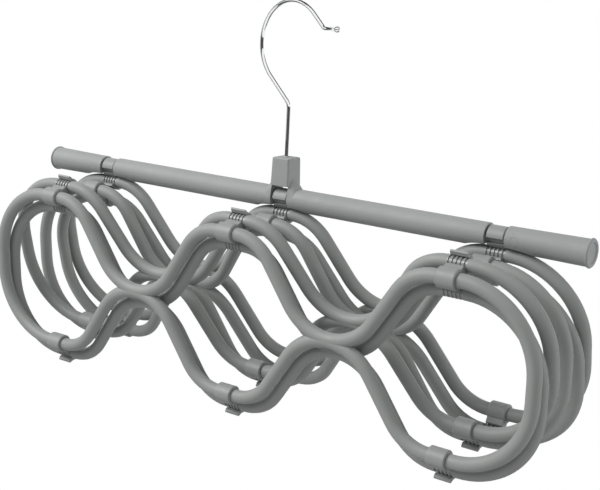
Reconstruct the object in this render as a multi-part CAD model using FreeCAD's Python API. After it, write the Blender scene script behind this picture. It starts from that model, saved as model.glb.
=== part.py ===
import FreeCAD, Part
import math
import os

from FreeCAD import Vector

os.makedirs("parts", exist_ok=True)

# A folding scarf hanger: a bar on a swivel hook carries six wavy loop frames, linked in a zigzag.
# Drawn about the middle of the bar's axis: X runs along the bar, Y to the back, Z up.
# Every piece is then lowered so that the origin is the underside of the hook's bow, where it hangs.
# Lengths in mm, angles in degrees.

# Stations: the three places along the bar where every link sits
bar_length = 400.0
station_share = 0.365
station_pitch = bar_length * station_share
sides = {"left": -station_pitch, "centre": 0, "right": station_pitch}

# Bar and its end plugs
bar_diameter = 14.0
bar_end_diameter = 15.1
bar_neck_diameter = 7.8
plug_flange_overhang = 0.55
plug_flange_thickness = 1.8
plug_stem_diameter = 9.0
plug_stem_length = 12.0
plug_end_gap = 2.0
plug_rim_width = 1.9
plug_recess_depth = 0.8
plug_rim_round = 0.6

# Yoke: the block over the middle neck, on two arched legs that run out along the bar
yoke_block_width = 13.4
yoke_block_depth = 13.6
yoke_block_height = 17.2
yoke_draft = 0.45
yoke_slot_gap = 2.2
yoke_shoulder_rise = 5.6
yoke_foot_length = 4.9
yoke_edge_round = 1.0

# Hook wire and the washer that keeps it in the yoke
wire_diameter = 2.6
hook_shank_length = 32.4
hook_bend_radius = 7.0
hook_slant_length = 23.4
hook_bow_radius = 26.3
hook_bow_end_angle = 42.0
hook_lead_length = 10.5
hook_tip_radius = 4.0
hook_tip_length = 9.0
hook_ball_diameter = 3.8
hook_turn_angle = -10.0
hook_tail_length = 1.2
washer_diameter = 6.4
washer_thickness = 2.0
washer_pocket_depth = 7.0

# Frames: round rod bent into two waves that meet at two crossings, with a round lobe at each end
rod_diameter = 8.0
frame_height = 100.0
crest_radius = 28.0
flank_length = 27.1
crossing_rise = 0.6
lobe_straight_length = 12.0

# Ringed necks: grooves turned into the rod at every crest and trough
neck_length = 11.0
neck_margin = 1.5
neck_groove_depth = 0.6
neck_ring_count = 4
neck_ring_width = 1.0

# Links: a sleeve on one rod and an open clip on the next rod's ringed neck
link_wall = 4.34
sleeve_wall = 1.67
bar_link_wall = 1.44
bar_sleeve_wall = 2.22
bar_sleeve_length = 10.6
bar_slit_height = 3.2
sleeve_end_gap = 1.3
sleeve_bevel = 0.5
clip_wall = 1.32
clip_mouth_angle = 83.0
clip_mouth_turn = 25.0
clip_lip_reach = 1.7
clip_lip_flare = 0.9
clip_lip_thickness = 1.1
link_web_width = 6.4

# Clearances
sleeve_clearance = 0.08
clip_clearance = 0.08
neck_clearance = 0.08
neck_side_clearance = 0.9
clip_side_clearance = 0.3
swivel_clearance = 0.1
press_clearance = 0.05
nest_clearance = 1.2
cut_overrun = 1.0

# Rest position of the zigzag: how far each frame leans, its foot to the back, and where each link points,
# as a bearing in the YZ plane counted up from the front
lean_angles = [12.0, 12.5, 3.7, 13.0, 2.6, 2.8]
link_bearings = [-58.0, 35.0, 38.0, -28.0, 222.0]

axis_x = Vector(1, 0, 0)
axis_y = Vector(0, 1, 0)
axis_z = Vector(0, 0, 1)
origin = Vector(0, 0, 0)
bar_radius = bar_diameter / 2
bar_neck_radius = bar_neck_diameter / 2
rod_radius = rod_diameter / 2
clip_bore_radius = rod_radius + clip_clearance
rod_bore_radius = rod_radius + sleeve_clearance
bar_bore_radius = bar_neck_radius + neck_clearance
link_pitch = rod_bore_radius + link_wall + clip_bore_radius
bar_link_pitch = bar_bore_radius + bar_link_wall + clip_bore_radius
bar_neck_gap = bar_sleeve_length + neck_side_clearance * 2
crest_flat_length = neck_length + neck_margin * 2
sleeve_length = crest_flat_length - sleeve_end_gap * 2
lobe_radius = (frame_height - lobe_straight_length) / 2
clip_length = neck_length - clip_side_clearance * 2
yoke_slot_height = bar_bore_radius + bar_sleeve_wall + yoke_slot_gap
yoke_shoulder_height = yoke_slot_height + yoke_shoulder_rise
yoke_top_height = yoke_slot_height + yoke_block_height
hook_bend_height = yoke_top_height + hook_shank_length
hook_bow_height = hook_bend_height + math.hypot(hook_bow_radius, hook_slant_length)
seat_height = hook_bow_height + hook_bow_radius - wire_diameter / 2


def export(shape, name):
    piece = shape.copy()
    piece.translate(axis_z * -seat_height)
    piece.exportStep("parts/%s.step" % name)


def rod_x(radius, length, centre=origin):
    start = centre - axis_x * (length / 2)
    return Part.makeCylinder(radius, length, start, axis_x)


def turned_x(profile):
    """Solid of revolution about X from a closed outline of (x, radius) points."""
    points = [Vector(x, 0, r) for x, r in profile]
    face = Part.Face(Part.makePolygon(points + points[:1]))
    return face.revolve(origin, axis_x, 360)


def extruded_x(outline, length):
    """Prism along X, centred, from a closed outline of (y, z) points."""
    points = [Vector(-length / 2, y, z) for y, z in outline]
    face = Part.Face(Part.makePolygon(points + points[:1]))
    return face.extrude(axis_x * length)


def arc_edge(centre, radius, start, end):
    """Arc in the XZ plane between two directions, in degrees up from +X."""
    def at(angle):
        turn = math.radians(angle)
        return centre + Vector(math.cos(turn), 0, math.sin(turn)) * radius
    return Part.Arc(at(start), at((start + end) / 2), at(end)).toShape()


def line_edge(start, end):
    return Part.LineSegment(start, end).toShape()


def swept(edges, diameter):
    """Round rod along a chain of lines and tangent arcs that starts at the first edge's first end."""
    path = Part.Wire(edges)
    first = edges[0]
    heading = first.tangentAt(first.FirstParameter)
    section = Part.Wire(Part.makeCircle(diameter / 2, first.valueAt(first.FirstParameter), heading))
    return path.makePipeShell([section], True, False)


def rounded(shape, radius, wanted):
    """The shape with the edges that the test picks rounded off."""
    return shape.makeFillet(radius, [edge for edge in shape.Edges if wanted(edge)])


# Zigzag layout: the (y, z) of every frame's crest line and trough line

def bearing_step(bearing, reach):
    turn = math.radians(bearing)
    return Vector(0, -math.cos(turn), math.sin(turn)) * reach


def down_frame(lean):
    turn = math.radians(lean)
    return Vector(0, math.sin(turn), -math.cos(turn)) * frame_height


crests = [Vector(0, 0, -bar_link_pitch)]
troughs = [crests[0] + down_frame(lean_angles[0])]
for step, bearing in enumerate(link_bearings):
    drop = down_frame(lean_angles[step + 1])
    joined_at_trough = step % 2 == 0
    if joined_at_trough:
        troughs.append(troughs[step] + bearing_step(bearing, link_pitch))
        crests.append(troughs[step + 1] - drop)
    else:
        crests.append(crests[step] + bearing_step(bearing, link_pitch))
        troughs.append(crests[step + 1] + drop)


# Frame: the upper wave is swept, cut at the mid plane and mirrored into the lower one

def upper_wave():
    half_flat = crest_flat_length / 2
    half_height = frame_height / 2
    run = station_pitch / 2 - half_flat
    fall = half_height - crossing_rise
    bend_sum = (run ** 2 + fall ** 2 - flank_length ** 2) / (2 * fall)
    crossing_radius = bend_sum - crest_radius
    slope = math.atan2(fall - bend_sum, run) + math.asin(bend_sum / math.hypot(run, fall - bend_sum))
    flank = math.degrees(slope)

    def crest_centre(x):
        return Vector(x, 0, half_height - crest_radius)

    def crossing_centre(x):
        return Vector(x, 0, crossing_rise + crossing_radius)

    lobe_x = station_pitch + half_flat
    lobe_z = half_height - lobe_radius
    outer = lobe_x + lobe_radius
    arcs = [arc_edge(Vector(-lobe_x, 0, lobe_z), lobe_radius, 180, 90)]
    for station in sides.values():
        if station > -station_pitch:
            crossing = crossing_centre(station - station_pitch / 2)
            arcs.append(arc_edge(crossing, crossing_radius, 270, 270 + flank))
            arcs.append(arc_edge(crest_centre(station - half_flat), crest_radius, 90 + flank, 90))
        if station < station_pitch:
            crossing = crossing_centre(station + station_pitch / 2)
            arcs.append(arc_edge(crest_centre(station + half_flat), crest_radius, 90, 90 - flank))
            arcs.append(arc_edge(crossing, crossing_radius, 270 - flank, 270))
    arcs.append(arc_edge(Vector(lobe_x, 0, lobe_z), lobe_radius, 90, 0))

    edges = [line_edge(Vector(-outer, 0, 0), arcs[0].valueAt(arcs[0].FirstParameter))]
    for arc, following in zip(arcs, arcs[1:]):
        edges.append(arc)
        end = arc.valueAt(arc.LastParameter)
        start = following.valueAt(following.FirstParameter)
        if end.distanceToPoint(start) > press_clearance:
            edges.append(line_edge(end, start))
    edges.append(arcs[-1])
    edges.append(line_edge(arcs[-1].valueAt(arcs[-1].LastParameter), Vector(outer, 0, 0)))
    return swept(edges, rod_diameter)


def neck_grooves():
    groove_count = neck_ring_count + 1
    groove_width = (neck_length - neck_ring_count * neck_ring_width) / groove_count
    pitch = groove_width + neck_ring_width
    outer = rod_radius + cut_overrun
    inner = rod_radius - neck_groove_depth
    grooves = []
    for station in sides.values():
        for index in range(groove_count):
            x = station - neck_length / 2 + groove_width / 2 + index * pitch
            centre = Vector(x, 0, frame_height / 2)
            grooves.append(rod_x(outer, groove_width, centre).cut(rod_x(inner, groove_width, centre)))
    return Part.makeCompound(grooves)


def frame_blank():
    """One frame in its own plane: X along, Z up, its middle at the origin."""
    wave = upper_wave().cut(neck_grooves())
    reach = bar_length + frame_height
    corner = Vector(-reach / 2, -rod_diameter, -frame_height)
    below = Part.makeBox(reach, rod_diameter * 2, frame_height, corner)
    upper = wave.cut(below)
    lower = upper.mirror(origin, axis_z)
    return upper.fuse(lower).removeSplitter().Solids[0]


# Links

def link_blank(pitch, bore, wall, length, mouth_side):
    """Sleeve on the X axis with an open clip hung below it; the mouth faces -Y or +Y and up to the sleeve."""
    half = length / 2
    outside = bore + wall
    bevelled = outside - sleeve_bevel
    sleeve = turned_x([(-half, bore), (-half, bevelled), (-half + sleeve_bevel, outside),
                       (half - sleeve_bevel, outside), (half, bevelled), (half, bore)])
    clip_axis = Vector(0, 0, -pitch)
    clip_radius = clip_bore_radius + clip_wall
    half_web = link_web_width / 2
    web = extruded_x([(-half_web, 0), (half_web, 0), (half_web, -pitch), (-half_web, -pitch)], clip_length)
    half_angle = math.radians(clip_mouth_angle / 2)
    half_mouth = clip_bore_radius * math.sin(half_angle)
    edge = clip_bore_radius * math.cos(half_angle)
    root = edge + clip_lip_thickness
    tip = root + clip_lip_reach
    top = half_mouth - pitch
    bottom = -half_mouth - pitch
    flared = bottom - clip_lip_flare
    under = flared - clip_lip_thickness
    lip_outline = [(-edge, bottom), (-root, bottom), (-tip, flared), (-tip, under), (-edge, under)]
    lip = extruded_x(lip_outline, clip_length)
    reach = tip + cut_overrun
    through = max(length, clip_length) + cut_overrun
    mouth = extruded_x([(0, top), (-reach, top), (-reach, bottom), (0, bottom)], through)
    for turned in (lip, mouth):
        turned.rotate(clip_axis, axis_x, -clip_mouth_turn)
    body = rod_x(clip_radius, clip_length, clip_axis).fuse([web, lip]).cut([mouth, rod_x(bore, through)])
    link = sleeve.fuse(body).cut(rod_x(clip_bore_radius, through, clip_axis)).removeSplitter()
    if mouth_side > 0:
        link = link.mirror(origin, axis_y)
    return link.Solids[0]


def bar_link_blank():
    """Link for the bar: its sleeve is open below the front, so that it springs over the bar's neck."""
    link = link_blank(bar_link_pitch, bar_bore_radius, bar_sleeve_wall, bar_sleeve_length, -1)
    depth = bar_bore_radius + bar_sleeve_wall + cut_overrun
    width = bar_sleeve_length + cut_overrun
    slit = Part.makeBox(width, depth, bar_slit_height, Vector(-width / 2, -depth, -bar_slit_height))
    return link.cut(slit).Solids[0]


def aim_link(link, sleeve_at, clip_at, station):
    """Put a link's sleeve on one rod and its clip on the other."""
    way = clip_at - sleeve_at
    turn = math.degrees(math.atan2(way.y, -way.z))
    placed = link.copy()
    placed.rotate(origin, axis_x, turn)
    placed.translate(sleeve_at + axis_x * station)
    return placed


# Bar

def bar_core():
    half = bar_length / 2 - plug_flange_thickness
    gap = bar_neck_gap / 2
    inner_neck = station_pitch - gap
    outer_neck = station_pitch + gap
    end = bar_end_diameter / 2
    socket = plug_stem_diameter / 2 + press_clearance
    socket_floor = half - plug_stem_length - plug_end_gap
    right = [(0, bar_neck_radius), (gap, bar_neck_radius), (gap, bar_radius), (inner_neck, bar_radius),
             (inner_neck, bar_neck_radius), (outer_neck, bar_neck_radius), (outer_neck, bar_radius),
             (half, end), (half, socket), (socket_floor, socket), (socket_floor, 0)]
    left = [(-x, r) for x, r in reversed(right)]
    return turned_x(left + right[1:])


def crest_nest(station):
    """Arch across the bar's underside that the first frame's crest tucks into."""
    rise = rod_radius + nest_clearance
    top = rise - bar_link_pitch
    floor = -bar_end_diameter / 2 - cut_overrun

    def shoulder(way):
        bend = lobe_radius if station * way >= station_pitch else crest_radius
        arch = bend + rise
        tilt = math.degrees(math.acos((arch - top + floor) / arch))
        centre = Vector(station + way * crest_flat_length / 2, 0, top - arch)
        return arc_edge(centre, arch, 90, 90 - way * tilt)

    left = shoulder(-1)
    right = shoulder(1)
    flat = line_edge(left.valueAt(left.FirstParameter), right.valueAt(right.FirstParameter))
    base = line_edge(right.valueAt(right.LastParameter), left.valueAt(left.LastParameter))
    face = Part.Face(Part.Wire([flat, right, base, left]))
    depth = bar_end_diameter + cut_overrun
    face.translate(axis_y * (-depth / 2))
    return face.extrude(axis_y * depth)


def yoke():
    def plate(width, depth, z):
        w = width / 2
        d = depth / 2
        points = [Vector(-w, -d, z), Vector(w, -d, z), Vector(w, d, z), Vector(-w, d, z)]
        return Part.makePolygon(points + points[:1])

    top_width = yoke_block_width - yoke_draft * 2
    top_depth = yoke_block_depth - yoke_draft * 2
    block = Part.makeLoft([plate(yoke_block_width, yoke_block_depth, yoke_slot_height),
                           plate(top_width, top_depth, yoke_top_height)], True, True)
    block = rounded(block, yoke_edge_round, lambda edge: edge.BoundBox.ZMax > yoke_shoulder_height)


    def arch(x, half_depth, height):
        """Half oval that stands upright across the bar at x."""
        back = Vector(x, half_depth, 0)
        oval = Part.Ellipse(Vector(x, 0, height), back, Vector(x, 0, 0))
        bow = Part.ArcOfEllipse(oval, -math.pi / 2, math.pi / 2).toShape()
        return Part.Wire([bow, line_edge(back, Vector(x, -half_depth, 0))])

    near = bar_neck_gap / 2
    foot = near + yoke_foot_length
    foot_height = bar_radius - press_clearance
    foot_arch = foot_height - press_clearance
    near_arch = (yoke_block_depth - press_clearance) / 2
    legs = [Part.makeLoft([arch(way * foot, foot_arch, foot_height),
                           arch(way * near, near_arch, yoke_shoulder_height)], True, True) for way in (-1, 1)]
    return block.fuse(legs)


def hanger_bar():
    body = bar_core().fuse(yoke())
    shaft_hole = Part.makeCylinder(wire_diameter / 2 + swivel_clearance, yoke_top_height + cut_overrun,
                                   Vector(0, 0, yoke_slot_height), axis_z)
    pocket = Part.makeCylinder(washer_diameter / 2 + swivel_clearance, washer_pocket_depth,
                               Vector(0, 0, yoke_slot_height), axis_z)
    nests = [crest_nest(station) for station in sides.values()]
    return body.cut([shaft_hole, pocket] + nests).removeSplitter().Solids[0]


def end_plug(way):
    """Flanged plug that closes one end of the bar, with a shallow dished face."""
    face = bar_length / 2
    seat = face - plug_flange_thickness
    rim = bar_end_diameter / 2 + plug_flange_overhang
    stem = plug_stem_diameter / 2
    stem_end = seat - plug_stem_length
    dish = rim - plug_rim_width
    dish_floor = face - plug_recess_depth
    rounded_rim = rim - plug_rim_round
    outline = [(stem_end, 0), (stem_end, stem), (seat, stem), (seat, rounded_rim),
               (seat + plug_rim_round, rim), (face - plug_rim_round, rim), (face, rounded_rim), (face, dish),
               (dish_floor, dish - plug_recess_depth), (dish_floor, 0)]
    return turned_x([(way * x, r) for x, r in outline])


# Hook

def hook_wire():
    """Wire from inside the yoke up the shank, out along a slant, over the bow and down to its tip."""
    bow_centre = Vector(0, 0, hook_bow_height)
    bend_point = Vector(0, 0, hook_bend_height)
    turn = math.degrees(math.atan2(hook_slant_length, hook_bow_radius))
    slant = 90 - turn
    setback = hook_bend_radius * math.tan(math.radians(slant / 2))
    tail = yoke_slot_height + washer_pocket_depth - washer_thickness - swivel_clearance - hook_tail_length
    bend_start = bend_point - axis_z * setback
    bend = arc_edge(bend_start - axis_x * hook_bend_radius, hook_bend_radius, 0, slant)
    bow = arc_edge(bow_centre, hook_bow_radius, 270 - turn, 90 - hook_bow_end_angle)
    lead_angle = math.radians(hook_bow_end_angle)
    lead_way = Vector(math.cos(lead_angle), 0, -math.sin(lead_angle))
    bow_end = bow.valueAt(bow.LastParameter)
    lead_end = bow_end + lead_way * hook_lead_length
    tip_centre = lead_end + Vector(math.sin(lead_angle), 0, math.cos(lead_angle)) * hook_tip_radius
    tip_bend = arc_edge(tip_centre, hook_tip_radius, 270 - hook_bow_end_angle, 270)
    tip_start = tip_bend.valueAt(tip_bend.LastParameter)
    edges = [line_edge(Vector(0, 0, tail), bend_start), bend,
             line_edge(bend.valueAt(bend.LastParameter), bow.valueAt(bow.FirstParameter)), bow,
             line_edge(bow_end, lead_end), tip_bend,
             line_edge(tip_start, tip_start + axis_x * hook_tip_length)]
    ball = Part.makeSphere(hook_ball_diameter / 2, tip_start + axis_x * hook_tip_length)
    wire = swept(edges, wire_diameter).fuse(ball).removeSplitter().Solids[0]
    wire.rotate(origin, axis_z, hook_turn_angle)
    return wire


def hook_washer():
    top = yoke_slot_height + washer_pocket_depth - swivel_clearance
    base = Vector(0, 0, top - washer_thickness)
    disc = Part.makeCylinder(washer_diameter / 2, washer_thickness, base, axis_z)
    return disc.cut(Part.makeCylinder(wire_diameter / 2 + press_clearance, washer_thickness, base, axis_z))


print("hook seat above the bar", round(seat_height, 4), "link pitches", link_pitch, bar_link_pitch)
export(hanger_bar(), "hanger_bar")
export(end_plug(-1), "end_plug_left")
export(end_plug(1), "end_plug_right")
export(hook_wire(), "hook_wire")
export(hook_washer(), "hook_washer")

blank = frame_blank()
print("frame volume", round(blank.Volume, 1), "valid", blank.isValid())
for index, lean in enumerate(lean_angles):
    frame = blank.copy()
    frame.rotate(origin, axis_x, lean)
    frame.translate((crests[index] + troughs[index]) / 2)
    export(frame, "tier_frame_%d" % (index + 1))
    places = [round(v, 4) for v in (crests[index].y, crests[index].z, troughs[index].y, troughs[index].z)]
    print("tier", index + 1, "crest and trough y, z", places)

bar_link = bar_link_blank()
front_link = link_blank(link_pitch, rod_bore_radius, sleeve_wall, sleeve_length, -1)
back_link = link_blank(link_pitch, rod_bore_radius, sleeve_wall, sleeve_length, 1)

# Each row: name, blank, the rod that wears the sleeve, the ringed neck in the clip
link_rows = [("link_bar_1", bar_link, origin, crests[0]),
             ("link_1_2", front_link, troughs[0], troughs[1]),
             ("link_2_3", back_link, crests[2], crests[1]),
             ("link_3_4", front_link, troughs[3], troughs[2]),
             ("link_4_5", back_link, crests[4], crests[3]),
             ("link_5_6", front_link, troughs[4], troughs[5])]
for name, link, sleeve_at, clip_at in link_rows:
    for side, station in sides.items():
        export(aim_link(link, sleeve_at, clip_at, station), "%s_%s" % (name, side))
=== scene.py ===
import math

import bmesh
import bpy
from mathutils import Matrix, Vector


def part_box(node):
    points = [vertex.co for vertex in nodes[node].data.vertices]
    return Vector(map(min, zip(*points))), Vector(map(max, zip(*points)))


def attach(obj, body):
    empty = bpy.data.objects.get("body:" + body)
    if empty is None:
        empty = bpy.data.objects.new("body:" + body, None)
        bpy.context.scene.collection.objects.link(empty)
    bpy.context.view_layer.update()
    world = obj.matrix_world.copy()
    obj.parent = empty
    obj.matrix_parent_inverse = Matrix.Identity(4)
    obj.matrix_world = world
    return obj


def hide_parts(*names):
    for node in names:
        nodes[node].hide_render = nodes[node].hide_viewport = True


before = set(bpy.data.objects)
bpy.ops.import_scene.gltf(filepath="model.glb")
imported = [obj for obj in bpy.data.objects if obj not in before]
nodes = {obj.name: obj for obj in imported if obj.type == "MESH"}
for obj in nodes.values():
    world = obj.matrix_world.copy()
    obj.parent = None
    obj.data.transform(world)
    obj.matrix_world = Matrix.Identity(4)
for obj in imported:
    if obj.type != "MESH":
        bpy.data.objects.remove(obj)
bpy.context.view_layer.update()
print("frame loaded with", len(nodes), "nodes")

mm = 0.001
barAxis = -118.203 * mm                     # the bar's axis below the hook's seat
stations = (-146.0 * mm, 0.0, 146.0 * mm)   # where the links sit along the bar

# camera at the photograph's angle; angles in degrees, lengths in metres, aim on the object's middle
viewPoint = {"azimuth": 35.213, "pitch": 12.724, "roll": 2.782, "distance": 737.891 * mm,
             "aim": (0.0, 0.0, barAxis - 40.0 * mm), "slide": (10.811 * mm, 10.671 * mm),
             "focalPixels": 1184.351, "frameWidth": 600.0, "sensor": 36.0, "clip": (0.01, 50.0)}
objectMiddle = Vector(viewPoint["aim"])


def setCamera(spot):
    turn, dip, roll = [math.radians(spot[key]) for key in ("azimuth", "pitch", "roll")]
    forward = Vector((-math.sin(turn) * math.cos(dip), math.cos(turn) * math.cos(dip), -math.sin(dip)))
    right = Vector((math.cos(turn), math.sin(turn), 0))
    up = right.cross(forward)
    place = objectMiddle - forward * spot["distance"] + right * spot["slide"][0] + up * spot["slide"][1]
    across = right * math.cos(roll) + up * math.sin(roll)
    upward = up * math.cos(roll) - right * math.sin(roll)
    camera = bpy.data.objects.new("camera", bpy.data.cameras.new("camera"))
    bpy.context.scene.collection.objects.link(camera)
    camera.data.sensor_width = spot["sensor"]
    camera.data.lens = spot["focalPixels"] / spot["frameWidth"] * spot["sensor"]
    camera.data.clip_start, camera.data.clip_end = spot["clip"]
    camera.matrix_world = Matrix((across, upward, -forward)).transposed().to_4x4()
    camera.location = place
    bpy.context.scene.camera = camera


setCamera(viewPoint)
print("camera set")


def anglesFrom(start, end, count):
    # equal steps between two angles in degrees, as radians
    return [math.radians(start + (end - start) * i / count) for i in range(count + 1)]


def newNode(tree, kind, **settings):
    node = tree.nodes.new(kind)
    for key, value in settings.items():
        setattr(node, key, value)
    return node


def mathNode(tree, operation, first, second):
    node = newNode(tree, "ShaderNodeMath", operation=operation)
    for socket, value in zip(node.inputs, (first, second)):
        if isinstance(value, (int, float)):
            socket.default_value = value
        else:
            tree.links.new(value, socket)
    return node.outputs[0]


def emptyTree(holder):
    holder.use_nodes = True
    holder.node_tree.nodes.clear()
    return holder.node_tree


def seenDirectly(tree):
    # 1 for what the camera, a mirror or glass sees, 0 for light that falls on the object
    path = newNode(tree, "ShaderNodeLightPath")
    both = mathNode(tree, "MAXIMUM", path.outputs["Is Camera Ray"], path.outputs["Is Glossy Ray"])
    return mathNode(tree, "MAXIMUM", both, path.outputs["Is Transmission Ray"])


def mixBySight(tree, lighting, seen, output):
    mixed = newNode(tree, "ShaderNodeMixShader")
    tree.links.new(seenDirectly(tree), mixed.inputs["Fac"])
    tree.links.new(lighting.outputs[0], mixed.inputs[1])
    tree.links.new(seen.outputs[0], mixed.inputs[2])
    tree.links.new(mixed.outputs[0], output.inputs["Surface"])


def flatPiece(name, corners, faces, material):
    mesh = bpy.data.meshes.new(name)
    mesh.from_pydata(corners, [], faces)
    mesh.materials.append(material)
    piece = bpy.data.objects.new(name, mesh)
    bpy.context.scene.collection.objects.link(piece)
    return piece


# studio: a white room and a floor that shows white
room = {"ambient": 0.40, "floorDrop": 1.9, "floorSize": 9.0, "floorGrey": 0.95}


def makeRoom(look):
    bpy.context.scene.view_settings.view_transform = "Standard"
    world = bpy.data.worlds.new("studioWorld")
    bpy.context.scene.world = world
    tree = emptyTree(world)
    softLight = newNode(tree, "ShaderNodeBackground")
    softLight.inputs["Color"].default_value = (1, 1, 1, 1)
    softLight.inputs["Strength"].default_value = look["ambient"]
    backdrop = newNode(tree, "ShaderNodeBackground")
    backdrop.inputs["Color"].default_value = (1, 1, 1, 1)
    mixBySight(tree, softLight, backdrop, newNode(tree, "ShaderNodeOutputWorld"))

    paper = bpy.data.materials.new("floorPaper")
    tree = emptyTree(paper)
    diffuse = newNode(tree, "ShaderNodeBsdfDiffuse")
    diffuse.inputs["Color"].default_value = [look["floorGrey"]] * 3 + [1]
    glow = newNode(tree, "ShaderNodeEmission")
    mixBySight(tree, diffuse, glow, newNode(tree, "ShaderNodeOutputMaterial"))
    half = look["floorSize"] / 2
    corners = [(-half, -half, 0), (half, -half, 0), (half, half, 0), (-half, half, 0)]
    floor = flatPiece("floor", corners, [(0, 1, 2, 3)], paper)
    floor.location.z = -look["floorDrop"]


makeRoom(room)

# dark cards that only the shine sees: a wall by the camera, and arches round the line of sight;
# an arch has its two angles in degrees and its near edge in metres
cards = {"grey": 0.08, "steps": 24,
         "wall": {"radius": 2.2, "from": -46.0, "to": 118.0, "low": -0.55, "high": 0.42},
         "archRadius": 1.6, "archFar": 1.1,
         "arches": {"topCard": (25.0, 140.0, -0.3), "leftCard": (140.0, 185.0, 0.2),
                    "lowCard": (185.0, 335.0, -0.3)}}


def standCards(look):
    dark = bpy.data.materials.new("cardBlack")
    tree = emptyTree(dark)
    black = newNode(tree, "ShaderNodeEmission")
    black.inputs["Color"].default_value = [look["grey"]] * 3 + [1]
    output = newNode(tree, "ShaderNodeOutputMaterial")
    tree.links.new(black.outputs[0], output.inputs["Surface"])

    steps = look["steps"]
    wall = look["wall"]
    line = [(wall["radius"] * math.sin(a), -wall["radius"] * math.cos(a))
            for a in anglesFrom(wall["from"], wall["to"], steps)]
    edges = {"nearCard": [[Vector((x, y, z)) for x, y in line] for z in (wall["low"], wall["high"])]}
    facing = Matrix.Rotation(math.radians(viewPoint["azimuth"]), 3, "Z")
    for name, (start, end, near) in look["arches"].items():
        hoop = [(look["archRadius"] * math.cos(a), look["archRadius"] * math.sin(a))
                for a in anglesFrom(start, end, steps)]
        edges[name] = [[objectMiddle + facing @ Vector((x, depth, z)) for x, z in hoop]
                       for depth in (near, look["archFar"])]
    count = steps + 1
    faces = [(i, i + 1, count + i + 1, count + i) for i in range(steps)]
    for name, (first, second) in edges.items():
        card = flatPiece(name, first + second, faces, dark)
        card.visible_camera = False
        card.visible_diffuse = False
        card.visible_transmission = False
        card.visible_shadow = False


standCards(cards)

# one big soft lamp high on the left and a weak fill from the right, placed from the object's middle
lamps = {"keyLamp": {"place": (-1.05, -1.05, 1.2), "size": 1.3, "watts": 32.0, "shine": True},
         "fillLamp": {"place": (1.4, 0.75, 0.35), "size": 1.0, "watts": 9.0, "shine": False}}


def hangLamp(name, look):
    lamp = bpy.data.objects.new(name, bpy.data.lights.new(name, "AREA"))
    lamp.data.shape = "DISK"
    lamp.data.size = look["size"]
    lamp.data.energy = look["watts"]
    lamp.location = objectMiddle + Vector(look["place"])
    lamp.rotation_euler = (objectMiddle - lamp.location).to_track_quat("-Z", "Y").to_euler()
    lamp.visible_camera = False
    lamp.visible_glossy = look["shine"]
    bpy.context.scene.collection.objects.link(lamp)


for name, look in lamps.items():
    hangLamp(name, look)
print("studio lit")

# finishes: moulded grey plastic, glossier where the clips rub the ringed necks, and bright metal
barFinish = {"grey": (0.328, 0.343, 0.336), "drift": 0.035, "driftScale": 16.0,
             "rough": 0.62, "roughDrift": 0.07,
             "grainScale": 2600.0, "grainDepth": 0.00003, "grain": 0.35, "necks": False}
frameFinish = {"grey": (0.305, 0.315, 0.308), "drift": 0.045, "driftScale": 20.0,
               "rough": 0.56, "roughDrift": 0.08,
               "grainScale": 2900.0, "grainDepth": 0.00003, "grain": 0.3, "necks": True,
               "neckHalf": 5.7 * mm, "neckFade": 0.8 * mm, "neckRough": 0.22}
linkFinish = {"grey": (0.300, 0.314, 0.308), "drift": 0.03, "driftScale": 60.0,
              "rough": 0.50, "roughDrift": 0.06,
              "grainScale": 3300.0, "grainDepth": 0.00003, "grain": 0.25, "necks": False}
wireFinish = {"tint": (0.88, 0.89, 0.90), "rough": 0.06, "roughShare": 0.3,
              "drawScale": 900.0, "drawDepth": 0.00002, "draw": 0.12}
washerFinish = {"tint": (0.50, 0.50, 0.51), "rough": 0.30, "roughShare": 0.3,
                "drawScale": 2400.0, "drawDepth": 0.00003, "draw": 0.4}
noiseBand = (0.25, 0.75)                    # where most of a noise's values lie
noiseDetail = {"drift": 3, "rough": 2, "grain": 2, "draw": 2}
roughFiner = 9                              # patches of gloss are this much finer than those of shade


def noiseOn(tree, coordinates, scale, detail):
    noise = newNode(tree, "ShaderNodeTexNoise")
    noise.inputs["Scale"].default_value = scale
    noise.inputs["Detail"].default_value = detail
    tree.links.new(coordinates, noise.inputs["Vector"])
    return noise.outputs["Fac"]


def spread(tree, value, low, high):
    ranged = newNode(tree, "ShaderNodeMapRange")
    ranged.inputs["From Min"].default_value = noiseBand[0]
    ranged.inputs["From Max"].default_value = noiseBand[1]
    ranged.inputs["To Min"].default_value = low
    ranged.inputs["To Max"].default_value = high
    tree.links.new(value, ranged.inputs["Value"])
    return ranged.outputs["Result"]


def grainNormal(tree, height, strength, depth):
    bump = newNode(tree, "ShaderNodeBump")
    bump.inputs["Strength"].default_value = strength
    bump.inputs["Distance"].default_value = depth
    tree.links.new(height, bump.inputs["Height"])
    return bump.outputs["Normal"]


def neckMask(tree, coordinates, look):
    # 1 on the ringed neck at each station, 0 along the rest of the rod
    split = newNode(tree, "ShaderNodeSeparateXYZ")
    tree.links.new(coordinates, split.inputs[0])
    along = split.outputs["X"]
    nearest = None
    for station in stations:
        off = mathNode(tree, "ABSOLUTE", mathNode(tree, "SUBTRACT", along, station), 0)
        nearest = off if nearest is None else mathNode(tree, "MINIMUM", nearest, off)
    fade = newNode(tree, "ShaderNodeMapRange", interpolation_type="SMOOTHSTEP")
    fade.inputs["From Min"].default_value = look["neckHalf"]
    fade.inputs["From Max"].default_value = look["neckHalf"] + look["neckFade"]
    fade.inputs["To Min"].default_value = 1
    fade.inputs["To Max"].default_value = 0
    tree.links.new(nearest, fade.inputs["Value"])
    return fade.outputs["Result"]


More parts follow.
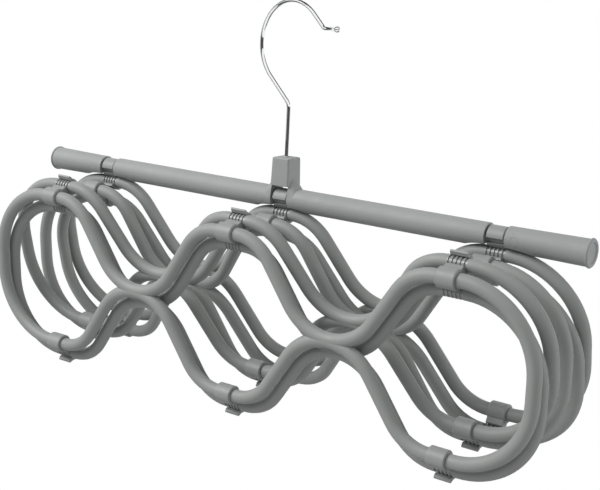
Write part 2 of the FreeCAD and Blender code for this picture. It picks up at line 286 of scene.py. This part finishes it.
def mouldedPlastic(name, look):
    material = bpy.data.materials.new(name)
    material.use_nodes = True
    tree = material.node_tree
    shader = tree.nodes["Principled BSDF"]
    place = newNode(tree, "ShaderNodeTexCoord").outputs["Object"]
    drift = noiseOn(tree, place, look["driftScale"], noiseDetail["drift"])
    shade = newNode(tree, "ShaderNodeMix", data_type="RGBA")
    grey = look["grey"]
    shade.inputs["A"].default_value = [c * (1 - look["drift"]) for c in grey] + [1]
    shade.inputs["B"].default_value = [c * (1 + look["drift"]) for c in grey] + [1]
    tree.links.new(spread(tree, drift, 0, 1), shade.inputs["Factor"])
    tree.links.new(shade.outputs["Result"], shader.inputs["Base Color"])
    patches = noiseOn(tree, place, look["driftScale"] * roughFiner, noiseDetail["rough"])
    rough = spread(tree, patches, look["rough"] - look["roughDrift"], look["rough"] + look["roughDrift"])
    if look["necks"]:
        polished = newNode(tree, "ShaderNodeMix")
        tree.links.new(neckMask(tree, place, look), polished.inputs["Factor"])
        tree.links.new(rough, polished.inputs["A"])
        polished.inputs["B"].default_value = look["neckRough"]
        rough = polished.outputs["Result"]
    tree.links.new(rough, shader.inputs["Roughness"])
    grain = noiseOn(tree, place, look["grainScale"], noiseDetail["grain"])
    normal = grainNormal(tree, grain, look["grain"], look["grainDepth"])
    tree.links.new(normal, shader.inputs["Normal"])
    return material


def brightMetal(name, look):
    material = bpy.data.materials.new(name)
    material.use_nodes = True
    tree = material.node_tree
    shader = tree.nodes["Principled BSDF"]
    shader.inputs["Metallic"].default_value = 1
    shader.inputs["Base Color"].default_value = list(look["tint"]) + [1]
    place = newNode(tree, "ShaderNodeTexCoord").outputs["Object"]
    marks = noiseOn(tree, place, look["drawScale"], noiseDetail["draw"])
    low, high = look["rough"] * (1 - look["roughShare"]), look["rough"] * (1 + look["roughShare"])
    tree.links.new(spread(tree, marks, low, high), shader.inputs["Roughness"])
    normal = grainNormal(tree, marks, look["draw"], look["drawDepth"])
    tree.links.new(normal, shader.inputs["Normal"])
    return material


finishes = {"hanger_bar": mouldedPlastic("barPlastic", barFinish),
            "tier_frame": mouldedPlastic("framePlastic", frameFinish),
            "link": mouldedPlastic("linkPlastic", linkFinish),
            "hook_wire": brightMetal("wireChrome", wireFinish),
            "hook_washer": brightMetal("washerSteel", washerFinish)}
finishes["end_plug"] = finishes["hanger_bar"]
for name, piece in nodes.items():
    finish = next(made for start, made in finishes.items() if name.startswith(start))
    piece.data.materials.clear()
    piece.data.materials.append(finish)
print("finishes on", len(nodes), "pieces")

# round lines along a path: the hook's wire, and the fine ridges that the mould leaves
ridgeLook = {"radius": 0.20 * mm, "sunk": 0.09 * mm, "sides": 6, "weld": 0.002 * mm}


def sweptLineTree():
    tree = bpy.data.node_groups.new("sweptLine", "GeometryNodeTree")
    inputs = {"Geometry": "Geometry", "Line Radius": "Float", "Sides": "Int", "Finish": "Material"}
    for name, kind in inputs.items():
        tree.interface.new_socket(name, in_out="INPUT", socket_type="NodeSocket" + kind)
    tree.interface.new_socket("Geometry", in_out="OUTPUT", socket_type="NodeSocketGeometry")
    given = newNode(tree, "NodeGroupInput")
    toCurve = newNode(tree, "GeometryNodeMeshToCurve")
    profile = newNode(tree, "GeometryNodeCurvePrimitiveCircle")
    swell = newNode(tree, "GeometryNodeInputNamedAttribute", data_type="FLOAT")
    swell.inputs["Name"].default_value = "swell"
    sweep = newNode(tree, "GeometryNodeCurveToMesh")
    sweep.inputs["Fill Caps"].default_value = True
    realize = newNode(tree, "GeometryNodeRealizeInstances")
    finish = newNode(tree, "GeometryNodeSetMaterial")
    result = newNode(tree, "NodeGroupOutput")
    link = tree.links.new
    link(given.outputs["Geometry"], toCurve.inputs["Mesh"])
    link(given.outputs["Line Radius"], profile.inputs["Radius"])
    link(given.outputs["Sides"], profile.inputs["Resolution"])
    link(toCurve.outputs["Curve"], sweep.inputs["Curve"])
    link(profile.outputs["Curve"], sweep.inputs["Profile Curve"])
    link(swell.outputs["Attribute"], sweep.inputs["Scale"])
    link(sweep.outputs["Mesh"], realize.inputs["Geometry"])
    link(realize.outputs["Geometry"], finish.inputs["Geometry"])
    link(given.outputs["Finish"], finish.inputs["Material"])
    link(finish.outputs["Geometry"], result.inputs["Geometry"])
    return tree


lineTree = sweptLineTree()


def pathMesh(name, runs):
    # every run is a list of (point, swell) pairs; runs that meet end to end become one line
    shape = bmesh.new()
    swell = shape.verts.layers.float.new("swell")
    for run in runs:
        corners = []
        for point, share in run:
            corner = shape.verts.new(point)
            corner[swell] = share
            corners.append(corner)
        for start, end in zip(corners, corners[1:]):
            shape.edges.new((start, end))
    bmesh.ops.remove_doubles(shape, verts=shape.verts[:], dist=ridgeLook["weld"])
    mesh = bpy.data.meshes.new(name)
    shape.to_mesh(mesh)
    shape.free()
    return mesh


def sweptLines(name, runs, radius, sides, finish):
    piece = bpy.data.objects.new(name, pathMesh(name, runs))
    bpy.context.scene.collection.objects.link(piece)
    values = {"Line Radius": radius, "Sides": sides, "Finish": finish}
    growth = piece.modifiers.new("sweptLine", "NODES")
    growth.node_group = lineTree
    for item in lineTree.interface.items_tree:
        if item.in_out == "INPUT" and item.name in values:
            growth[item.identifier] = values[item.name]
    grown = piece.evaluated_get(bpy.context.evaluated_depsgraph_get())
    plain = bpy.data.meshes.new_from_object(grown)
    piece.modifiers.clear()
    piece.data = plain
    shape = bmesh.new()
    shape.from_mesh(plain)
    bmesh.ops.recalc_face_normals(shape, faces=shape.faces[:])
    shape.to_mesh(plain)
    shape.free()
    plain.polygons.foreach_set("use_smooth", [True] * len(plain.polygons))
    return piece


def ridges(name, paths, finish, body):
    runs = [[(point, 1.0) for point in path] for path in paths]
    piece = sweptLines(name, runs, ridgeLook["radius"], ridgeLook["sides"], finish)
    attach(piece, body)


# hook wire, in mm from the bar's axis: tail, shank, bend, slant, bow, lead and a tip that ends in a ball
hookShape = {"wireRadius": 1.3, "ballRadius": 1.9, "tail": 12.1, "bendHeight": 58.0, "bendRadius": 7.0,
             "slant": 23.4, "bowRadius": 26.3, "bowEnd": 42.0, "lead": 10.5, "tipRadius": 4.0,
             "tipLength": 9.0, "turn": -10.0, "angleStep": 2.5, "lineStep": 1.2, "sides": 28,
             "ballSteps": 14, "ballClosed": 0.99}


def arcAngles(start, end, step):
    return anglesFrom(start, end, max(2, math.ceil(abs(end - start) / step)))


def arcPoints(x, z, radius, start, end, step):
    return [Vector((x + radius * math.cos(a), z + radius * math.sin(a))) for a in arcAngles(start, end, step)]


def hookPath(hook):
    bowHeight = hook["bendHeight"] + math.hypot(hook["bowRadius"], hook["slant"])
    turn = math.degrees(math.atan2(hook["slant"], hook["bowRadius"]))
    bendStart = hook["bendHeight"] - hook["bendRadius"] * math.tan(math.radians((90 - turn) / 2))
    step = hook["angleStep"]
    path = [Vector((0, hook["tail"]))]
    path += arcPoints(-hook["bendRadius"], bendStart, hook["bendRadius"], 0, 90 - turn, step)
    path += arcPoints(0, bowHeight, hook["bowRadius"], 270 - turn, 90 - hook["bowEnd"], step)
    dip = math.radians(hook["bowEnd"])
    leadEnd = path[-1] + Vector((math.cos(dip), -math.sin(dip))) * hook["lead"]
    tip = leadEnd + Vector((math.sin(dip), math.cos(dip))) * hook["tipRadius"]
    path += arcPoints(tip.x, tip.y, hook["tipRadius"], 270 - hook["bowEnd"], 270, step)
    run = [(path[0], 1.0)]
    for start, end in zip(path, path[1:]):
        count = math.ceil((end - start).length / hook["lineStep"])
        run += [(start.lerp(end, (i + 1) / count), 1.0) for i in range(count)]
    ball = path[-1] + Vector((hook["tipLength"], 0))
    share = hook["ballRadius"] / hook["wireRadius"]
    first, last = math.asin(1 / share), math.pi * hook["ballClosed"]
    for i in range(hook["ballSteps"] + 1):
        a = first + (last - first) * i / hook["ballSteps"]
        run.append((ball - Vector((hook["ballRadius"] * math.cos(a), 0)), share * math.sin(a)))
    return run


spin = Matrix.Rotation(math.radians(hookShape["turn"]), 3, "Z")
hookRun = [(spin @ Vector((p.x * mm, 0, p.y * mm + barAxis)), share) for p, share in hookPath(hookShape)]
hookWire = sweptLines("hookWire", [hookRun], hookShape["wireRadius"] * mm, hookShape["sides"],
                      finishes["hook_wire"])
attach(hookWire, "hook")
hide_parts("hook_wire")
# the wire mirrors the white room and the cards, not the lamp, whose glare would swallow the dark lines
keySkips = bpy.data.collections.new("keySkips")
keySkips.objects.link(hookWire)
bpy.data.objects["keyLamp"].light_linking.receiver_collection = keySkips
keySkips.collection_objects[0].light_linking.link_state = "EXCLUDE"
print("hook wire drawn")

# the frames' wave in its own plane, in mm; leans in degrees, first frame to last
frameWave = {"pitch": 146.0, "flat": 14.0, "height": 100.0, "crestRadius": 28.0, "flank": 27.1,
             "crossingRise": 0.6, "lobeStraight": 12.0, "rodRadius": 4.0, "clear": 0.4, "angleStep": 4.0,
             "leans": (12.0, 12.5, 3.7, 13.0, 2.6, 2.8)}


def waveQuarter(wave):
    # (point, outward) pairs along the rod's middle, from the centre crest to the right lobe's side
    halfFlat = wave["flat"] / 2
    halfHeight = wave["height"] / 2
    run = wave["pitch"] / 2 - halfFlat
    fall = halfHeight - wave["crossingRise"]
    bendSum = (run ** 2 + fall ** 2 - wave["flank"] ** 2) / (2 * fall)
    crossing = bendSum - wave["crestRadius"]
    slope = math.atan2(fall - bendSum, run) + math.asin(bendSum / math.hypot(run, fall - bendSum))
    flank = math.degrees(slope)
    lobe = (wave["height"] - wave["lobeStraight"]) / 2
    crest = wave["crestRadius"]
    bends = [(halfFlat, halfHeight - crest, crest, 90, 90 - flank, 1),
             (wave["pitch"] / 2, wave["crossingRise"] + crossing, crossing, 270 - flank, 270 + flank, -1),
             (wave["pitch"] - halfFlat, halfHeight - crest, crest, 90 + flank, 90, 1),
             (wave["pitch"] + halfFlat, halfHeight - lobe, lobe, 90, 0, 1)]
    path = []
    for x, z, radius, start, end, side in bends:
        for turn in arcAngles(start, end, wave["angleStep"]):
            way = Vector((math.cos(turn), math.sin(turn)))
            path.append((Vector((x, z)) + way * radius, way * side))
    path.append((Vector((wave["pitch"] + halfFlat + lobe, 0)), Vector((1, 0))))
    return path


def seamRuns(wave, sunk):
    # outline of the rods in the frame's plane, left out over the necks and sleeves
    reach = wave["rodRadius"] - sunk / mm
    clear = wave["flat"] / 2 + wave["clear"]
    quarter = waveQuarter(wave)
    runs = []
    for side in (1, -1):
        run = []
        last = None
        for middle, outward in quarter:
            point = middle + outward * reach * side
            onFlat = min(abs(middle.x), abs(middle.x - wave["pitch"])) < clear
            if point.y < 0 and last and last.y > 0:
                run.append(last.lerp(point, last.y / (last.y - point.y)))
            if onFlat or point.y < 0:
                if len(run) > 1:
                    runs.append(run)
                run = []
            else:
                if last and last.y < 0:
                    run.append(last.lerp(point, last.y / (last.y - point.y)))
                run.append(point)
            last = point
        if len(run) > 1:
            runs.append(run)
    return runs


quarterRuns = seamRuns(frameWave, ridgeLook["sunk"])
for number, lean in enumerate(frameWave["leans"], 1):
    low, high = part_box("tier_frame_%d" % number)
    middle = (Vector(low) + Vector(high)) / 2
    tilt = Matrix.Rotation(math.radians(lean), 3, "X")
    runs = []
    for flipX in (1, -1):
        for flipZ in (1, -1):
            for run in quarterRuns:
                runs.append([middle + tilt @ Vector((p.x * flipX, 0, p.y * flipZ)) * mm for p in run])
    ridges("frameSeam%d" % number, runs, finishes["tier_frame"], "tier_%d" % number)
print("seams round", len(frameWave["leans"]), "frames")

# bar, in mm: stretches that show a seam on top and below, and the mould's round pin marks
# on its front and its plugs; pinRise in degrees
barMarks = {"radius": 7.0, "endRadius": 7.55, "taper": (152.2, 198.2),
            "top": ((11.6, 139.2), (152.8, 197.6)), "below": ((20.8, 125.0), (169.8, 197.6)),
            "pinPlaces": (14.2, 158.0), "pinRadius": 2.4, "pinRise": 4.0, "pinSunk": 0.14,
            "plugFace": 199.2, "plugRing": 2.2, "ringSteps": 28}


def barRadius(look, x):
    start, end = look["taper"]
    share = min(max((abs(x) - start) / (end - start), 0), 1)
    return look["radius"] + (look["endRadius"] - look["radius"]) * share


def barRidges(look):
    sunk = ridgeLook["sunk"] / mm
    turns = [2 * math.pi * i / look["ringSteps"] for i in range(look["ringSteps"])] + [0]
    paths = []
    for flip in (1, -1):
        for side, stretches in ((1, look["top"]), (-1, look["below"])):
            for stretch in stretches:
                paths.append([(x * flip, 0, (barRadius(look, x) - sunk) * side) for x in stretch])
        for place in look["pinPlaces"]:
            radius = barRadius(look, place) - look["pinSunk"]
            ring = []
            for a in turns:
                around = math.radians(look["pinRise"]) + look["pinRadius"] * math.sin(a) / radius
                along = (place + look["pinRadius"] * math.cos(a)) * flip
                ring.append((along, -radius * math.cos(around), radius * math.sin(around)))
            paths.append(ring)
        face = (look["plugFace"] - look["pinSunk"]) * flip
        paths.append([(face, look["plugRing"] * math.cos(a), look["plugRing"] * math.sin(a)) for a in turns])
    return [[Vector(point) * mm + Vector((0, 0, barAxis)) for point in path] for path in paths]


ridges("barSeam", barRidges(barMarks), finishes["hanger_bar"], "bar")
print("seam and pin marks on the bar")
